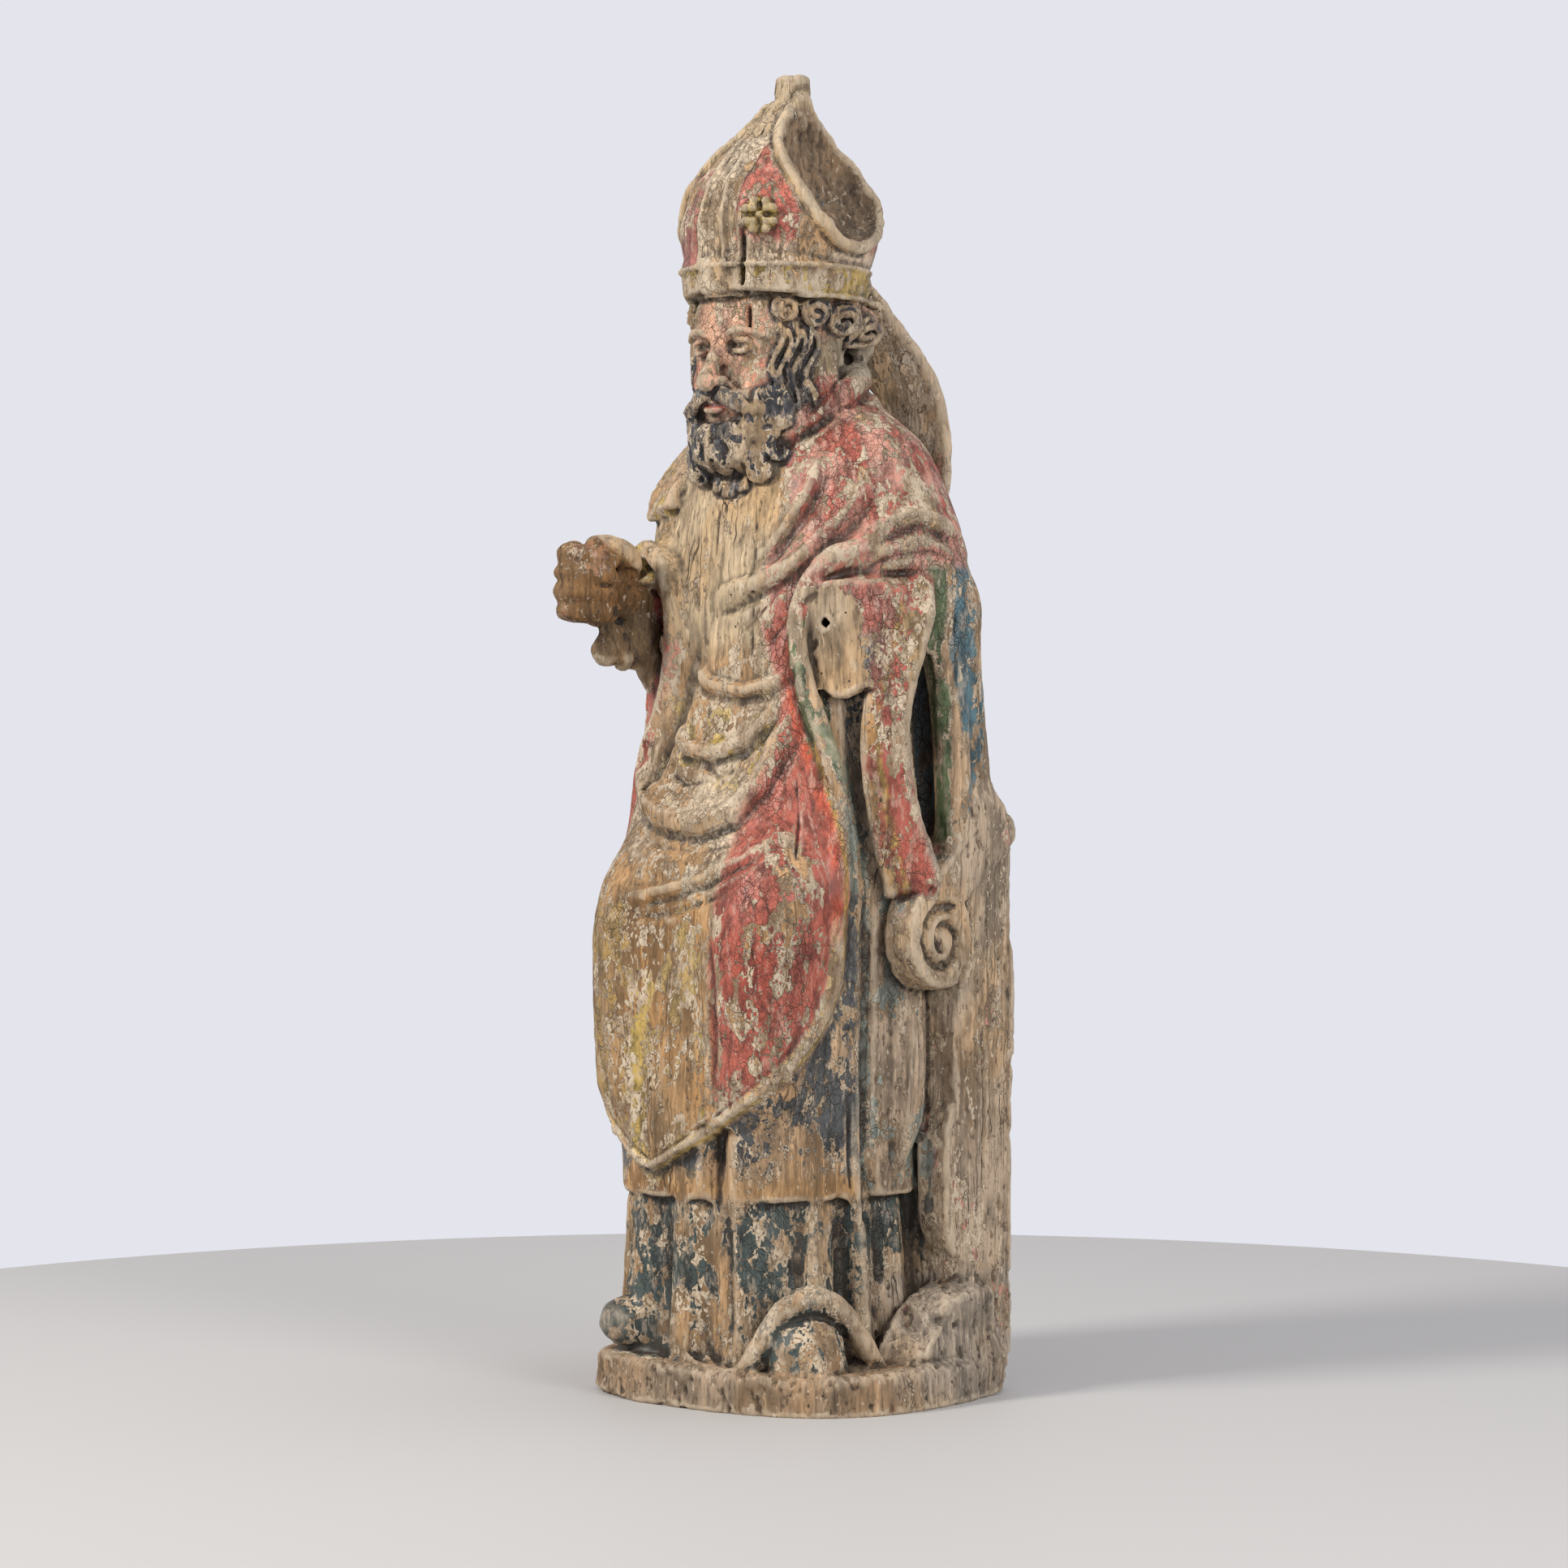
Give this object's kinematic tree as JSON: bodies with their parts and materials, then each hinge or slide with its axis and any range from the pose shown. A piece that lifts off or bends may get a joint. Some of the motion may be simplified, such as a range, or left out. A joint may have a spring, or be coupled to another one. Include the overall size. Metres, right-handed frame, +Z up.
{
  "type": "carved wooden statue",
  "caption": "Polychrome wooden figure of a seated bishop saint with mitre, on a low scroll-armed chair and rounded plinth, carved from one log; left hand lost.",
  "frame": {"origin": "on the underside of the plinth, on the upright axis through the middle of the figure", "axes": "+Z up, the figure faces -Y, its left hand is at +X"},
  "size_m": [0.3005, 0.2718, 1],
  "materials": {
    "wood": "weathered, with worn polychrome"
  },
  "bodies": {
    "root": {"seated_bishop_statue": "wood"}
  },
  "joints": []
}
